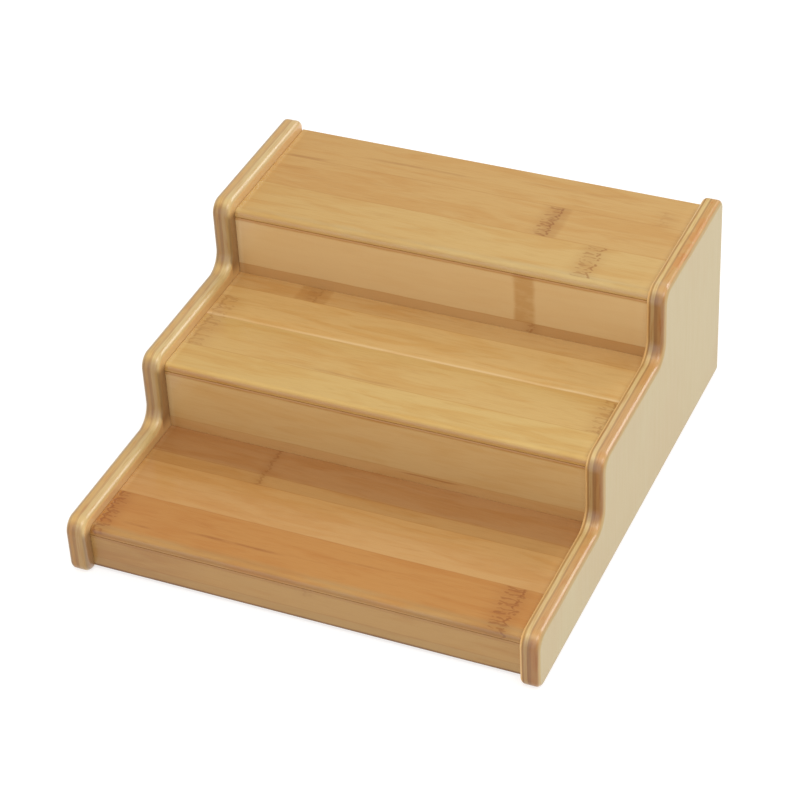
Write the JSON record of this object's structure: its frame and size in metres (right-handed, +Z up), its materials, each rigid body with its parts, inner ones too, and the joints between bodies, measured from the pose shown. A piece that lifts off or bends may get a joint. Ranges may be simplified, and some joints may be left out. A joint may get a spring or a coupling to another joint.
{
  "type": "tiered shelf riser",
  "caption": "Low stepped bamboo shelf riser: treads and risers housed between two side boards whose rounded edges stand proud as a lip.",
  "frame": {"origin": "centre of the footprint, on the surface that the riser stands on", "axes": "+X to the right seen from the front, +Y from the low front step to the high back step, +Z up"},
  "size_m": [0.254, 0.2748, 0.1116],
  "materials": {
    "side_board": "satin lacquered bamboo",
    "tread_board": "satin lacquered bamboo in wide strips",
    "riser_board": "satin lacquered bamboo in wide strips"
  },
  "bodies": {
    "root": {"left_side_panel": "side_board", "right_side_panel": "side_board", "lower_tread": "tread_board", "middle_tread": "tread_board", "upper_tread": "tread_board", "lower_riser": "riser_board", "middle_riser": "riser_board", "upper_riser": "riser_board"}
  },
  "joints": []
}
